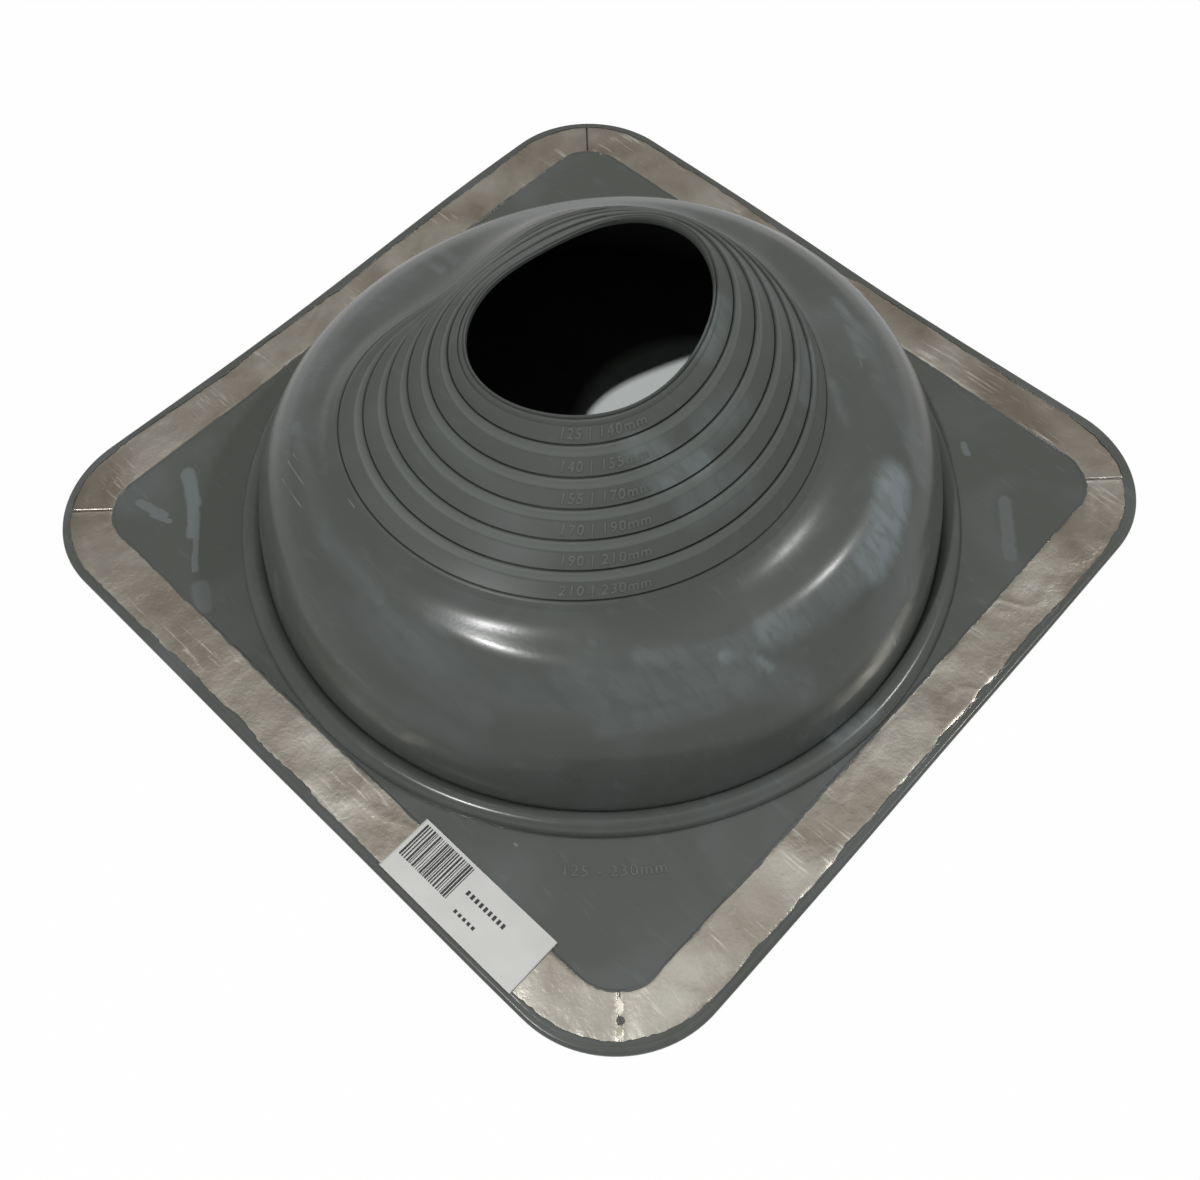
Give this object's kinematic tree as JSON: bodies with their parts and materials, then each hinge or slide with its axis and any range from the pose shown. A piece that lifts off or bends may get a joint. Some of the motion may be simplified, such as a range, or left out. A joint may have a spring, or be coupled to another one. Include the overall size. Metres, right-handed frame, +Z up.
{
  "type": "pipe flashing boot",
  "caption": "Moulded rubber flashing boot with a square flange, domed skirt and stepped neck that seals a round pipe through a sheet roof.",
  "frame": {"origin": "middle of the flange's underside, on the roof plane", "axes": "+Z up from the roof through the dome and neck; +X and +Y square to the flange's sides, with the label on the -Y side"},
  "size_m": [0.364, 0.364, 0.1337],
  "materials": {
    "rubber": "satin moulded",
    "strip": "dull rolled",
    "paper": "matt"
  },
  "bodies": {
    "root": {"boot": "rubber", "edge_strip_front": "strip", "edge_strip_right": "strip", "edge_strip_rear": "strip", "edge_strip_left": "strip", "label": "paper"}
  },
  "joints": []
}
